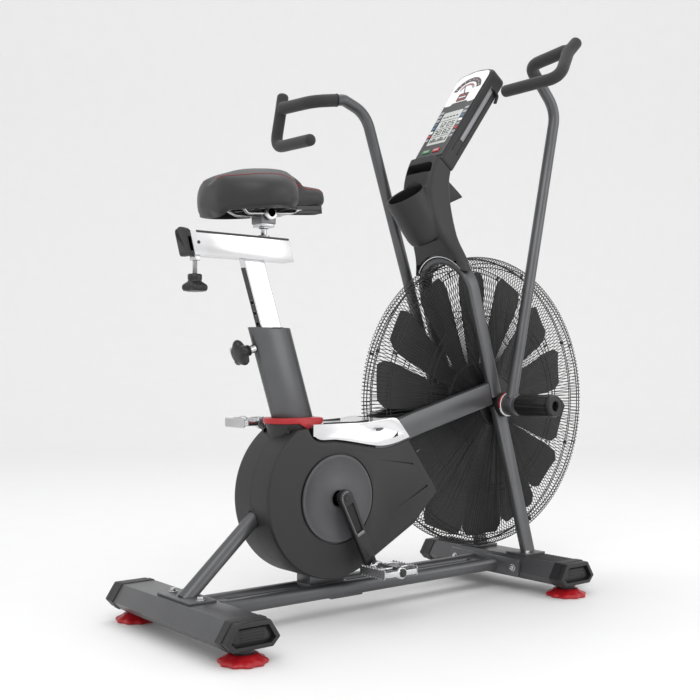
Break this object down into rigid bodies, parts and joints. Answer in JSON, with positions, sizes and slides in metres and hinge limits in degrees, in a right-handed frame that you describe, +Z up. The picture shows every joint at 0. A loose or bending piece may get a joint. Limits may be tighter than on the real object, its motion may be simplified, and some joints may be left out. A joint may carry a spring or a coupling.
{
  "type": "air bike",
  "caption": "Stationary air bike with a caged fan wheel, belt drive, two swinging arms, pegs, an adjustable saddle and a tilted console.",
  "frame": {"origin": "on the floor, under the middle of the bike", "axes": "+X forward from the saddle to the fan, +Y to the rider's left, +Z up"},
  "size_m": [1.226, 0.5644, 1.311],
  "materials": {
    "frame_grey": "satin dark grey powder coat",
    "black_plastic": "fine textured black moulding",
    "dark_plastic": "smooth satin black",
    "disc_grey": "grey moulding with a faint purple tone",
    "red_plastic": "red moulding",
    "chrome": "polished plating",
    "steel": "plain machined steel",
    "black_wire": "gloss black coated wire",
    "fan_black": "black fan wheel moulding",
    "foam": "closed-cell foam sleeve",
    "leather": "black grained saddle cover with red seams",
    "belt_rubber": "ribbed drive belt",
    "panel": "membrane panel",
    "screen": "grey liquid crystal window",
    "green_key": "green key",
    "red_key": "red key"
  },
  "bodies": {
    "frame": {"base_frame": "frame_grey", "rear_stabilizer": "frame_grey", "front_stabilizer": "frame_grey", "main_frame": "frame_grey", "fork": "frame_grey", "front_strut_right": "frame_grey", "front_strut_left": "frame_grey", "seat_tube": "frame_grey", "fan_axle": "steel", "crank_bearing_right": "steel", "crank_bearing_left": "steel", "hub_shell_right": "dark_plastic", "hub_shell_left": "dark_plastic", "foot_peg_right": "dark_plastic", "foot_peg_left": "dark_plastic", "rear_cap_right": "black_plastic", "rear_cap_left": "black_plastic", "front_cap_right": "black_plastic", "front_cap_left": "black_plastic", "shroud_right": "black_plastic", "shroud_left": "black_plastic", "mast_cover": "black_plastic", "console_housing": "black_plastic", "seat_collar": "red_plastic", "disc_cover_right": "disc_grey", "disc_cover_left": "disc_grey", "cage_right": "black_wire", "cage_left": "black_wire", "drive_belt": "belt_rubber", "console_panel": "panel", "lcd_screen": "screen", "top_cover": "chrome"},
    "crank": {"crank_spindle": "steel", "crank_pulley": "dark_plastic", "crank_arm_right": "dark_plastic", "crank_arm_left": "dark_plastic"},
    "right_pedal": {"pedal_right": "steel"},
    "left_pedal": {"pedal_left": "steel"},
    "fan": {"fan_wheel": "fan_black", "fan_pulley": "steel"},
    "right_arm": {"arm_right": "frame_grey", "grip_right": "foam"},
    "left_arm": {"arm_left": "frame_grey", "grip_left": "foam"},
    "seat_mast": {"seat_post": "chrome", "seat_rail": "chrome", "rail_cap": "black_plastic"},
    "seat_slider": {"seat_clamp": "steel"},
    "saddle_unit": {"saddle_rails": "steel", "saddle": "leather"},
    "slider_knob": {"rail_knob": "dark_plastic"},
    "height_pin": {"post_knob": "dark_plastic"},
    "rear_right_leveller": {"rear_foot_right": "red_plastic"},
    "rear_left_leveller": {"rear_foot_left": "red_plastic"},
    "front_right_leveller": {"front_foot_right": "red_plastic"},
    "front_left_leveller": {"front_foot_left": "red_plastic"},
    "right_wheel": {"transport_wheel_right": "red_plastic"},
    "left_wheel": {"transport_wheel_left": "red_plastic"},
    "start_button": {"start_key": "green_key"},
    "stop_button": {"stop_key": "red_key"}
  },
  "joints": [
    {"name": "crank_spin", "type": "hinge", "parent": "frame", "child": "crank", "pos_m": [-0.229, 0, 0.264], "axis": [0, 1, 0], "continuous": true},
    {"name": "fan_spin", "type": "hinge", "parent": "frame", "child": "fan", "pos_m": [0.261, 0, 0.45], "axis": [0, 1, 0], "continuous": true},
    {"name": "right_pedal_spin", "type": "hinge", "parent": "crank", "child": "right_pedal", "pos_m": [-0.15667, -0.152, 0.11237], "axis": [0, 1, 0], "continuous": true},
    {"name": "left_pedal_spin", "type": "hinge", "parent": "crank", "child": "left_pedal", "pos_m": [-0.30133, 0.152, 0.41563], "axis": [0, 1, 0], "continuous": true},
    {"name": "right_arm_swing", "type": "hinge", "parent": "frame", "child": "right_arm", "pos_m": [0.261, -0.123, 0.45], "axis": [0, 1, 0], "range_deg": [-36, 3]},
    {"name": "left_arm_swing", "type": "hinge", "parent": "frame", "child": "left_arm", "pos_m": [0.261, 0.123, 0.45], "axis": [0, 1, 0], "range_deg": [-3, 36]},
    {"name": "seat_height", "type": "slide", "parent": "frame", "child": "seat_mast", "axis": [-0.3024, 0, 0.9532], "range_m": [-0.09, 0.1], "stiffness_N_per_m": 20000, "springref_m": 0.00285},
    {"name": "seat_fore_aft", "type": "slide", "parent": "seat_mast", "child": "seat_slider", "axis": [1, 0, 0], "range_m": [-0.07, 0.012], "stiffness_N_per_m": 2000},
    {"name": "saddle_tilt", "type": "hinge", "parent": "seat_slider", "child": "saddle_unit", "pos_m": [-0.372, 0, 0.86], "axis": [0, 1, 0], "range_deg": [-8, 8], "stiffness_Nm_per_rad": 60},
    {"name": "slider_knob_turn", "type": "hinge", "parent": "seat_mast", "child": "slider_knob", "pos_m": [-0.537, 0, 0.7], "axis": [0, 0, 1], "range_deg": [-180, 180]},
    {"name": "height_pin_pull", "type": "slide", "parent": "frame", "child": "height_pin", "axis": [-0.9532, 0, -0.3024], "range_m": [0, 0.012], "stiffness_N_per_m": 150, "springref_m": -0.01},
    {"name": "rear_right_leveller_screw", "type": "slide", "parent": "frame", "child": "rear_right_leveller", "axis": [0, 0, 1], "range_m": [-0.008, 0]},
    {"name": "rear_left_leveller_screw", "type": "slide", "parent": "frame", "child": "rear_left_leveller", "axis": [0, 0, 1], "range_m": [-0.008, 0]},
    {"name": "front_right_leveller_screw", "type": "slide", "parent": "frame", "child": "front_right_leveller", "axis": [0, 0, 1], "range_m": [-0.008, 0]},
    {"name": "front_left_leveller_screw", "type": "slide", "parent": "frame", "child": "front_left_leveller", "axis": [0, 0, 1], "range_m": [-0.008, 0]},
    {"name": "right_wheel_spin", "type": "hinge", "parent": "frame", "child": "right_wheel", "pos_m": [0.438, -0.165, 0.04], "axis": [0, 1, 0], "continuous": true},
    {"name": "left_wheel_spin", "type": "hinge", "parent": "frame", "child": "left_wheel", "pos_m": [0.438, 0.165, 0.04], "axis": [0, 1, 0], "continuous": true},
    {"name": "start_button_press", "type": "slide", "parent": "frame", "child": "start_button", "axis": [0.8141, 0, -0.5807], "range_m": [0, 0.0018], "stiffness_N_per_m": 40, "springref_m": -0.002},
    {"name": "stop_button_press", "type": "slide", "parent": "frame", "child": "stop_button", "axis": [0.8141, 0, -0.5807], "range_m": [0, 0.0018], "stiffness_N_per_m": 40, "springref_m": -0.002}
  ],
  "couplings": [
    {"joint": "fan_spin", "follows": "crank_spin", "ratio": 4.5},
    {"joint": "left_arm_swing", "follows": "right_arm_swing", "ratio": -1}
  ]
}
